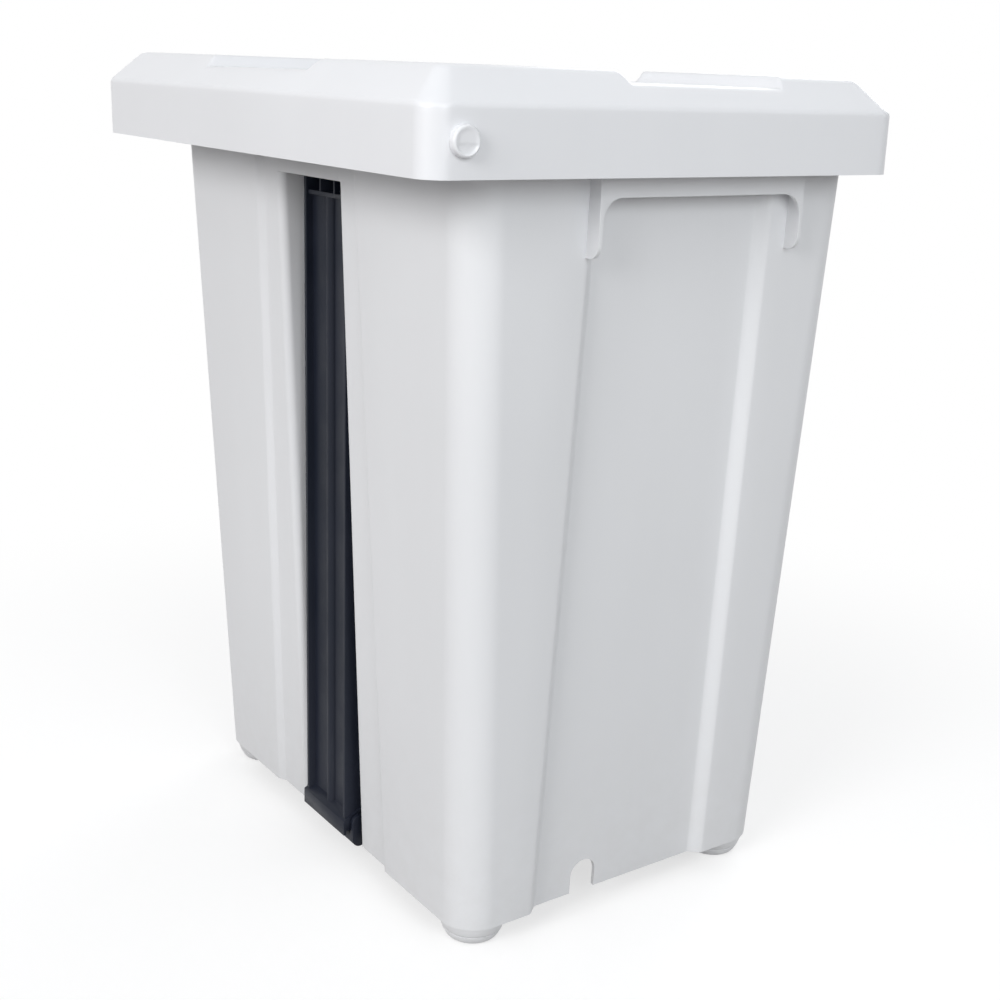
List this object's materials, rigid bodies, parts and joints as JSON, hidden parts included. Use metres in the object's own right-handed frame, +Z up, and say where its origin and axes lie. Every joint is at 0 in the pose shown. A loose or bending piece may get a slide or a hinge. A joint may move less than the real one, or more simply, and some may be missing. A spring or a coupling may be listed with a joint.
{
  "type": "pedal bin",
  "caption": "Free-standing plastic pedal bin with a hinged lid lifted by a rear push rod, a front pedal, side hand grips and corner feet.",
  "frame": {"origin": "centre of the whole bin's footprint, pedal tip included, on the floor", "axes": "+Z up, +X to the right of a person who faces the pedal side, -Y towards the pedal, +Y towards the push rod and hinge"},
  "size_m": [0.51, 0.4014, 0.619],
  "materials": {
    "body_plastic": "satin white polypropylene, lightly textured",
    "lid_plastic": "smooth white polypropylene with a soft sheen",
    "dark_plastic": "dark grey moulded polypropylene",
    "rubber": "matt grey rubber",
    "steel": "zinc plated"
  },
  "bodies": {
    "bin": {"bin_body": "body_plastic", "pedal_axle": "steel", "axle_clips": "steel", "axle_cap_left": "body_plastic", "axle_cap_right": "body_plastic", "axle_cap_screws": "steel", "lid_buffer_left": "rubber", "lid_buffer_right": "rubber", "foot_cap_front_left": "body_plastic", "foot_cap_front_right": "body_plastic", "foot_cap_rear_left": "body_plastic", "foot_cap_rear_right": "body_plastic"},
    "lid": {"lid": "lid_plastic", "hinge_pin_left": "lid_plastic", "hinge_pin_right": "lid_plastic", "hinge_clip_left": "steel", "hinge_clip_right": "steel", "lift_bracket": "dark_plastic", "lift_bracket_screws": "steel", "lift_pin": "steel", "lift_pin_clips": "steel"},
    "push_rod": {"push_rod": "dark_plastic"},
    "pedal": {"pedal_lever": "dark_plastic", "pedal_tread": "rubber"}
  },
  "joints": [
    {"name": "lid_hinge", "type": "hinge", "parent": "bin", "child": "lid", "pos_m": [0, 0.17675, 0.577], "axis": [-1, 0, 0], "range_deg": [0, 75]},
    {"name": "rod_slide", "type": "slide", "parent": "bin", "child": "push_rod", "axis": [0, 0, 1], "range_m": [0, 0.0317]},
    {"name": "pedal_hinge", "type": "hinge", "parent": "bin", "child": "pedal", "pos_m": [0, -0.00375, 0.045], "axis": [1, 0, 0], "range_deg": [0, 14.2]}
  ],
  "couplings": [
    {"joint": "rod_slide", "follows": "lid_hinge", "m_per_rad": 0.024183},
    {"joint": "pedal_hinge", "follows": "lid_hinge", "ratio": 0.18896}
  ]
}
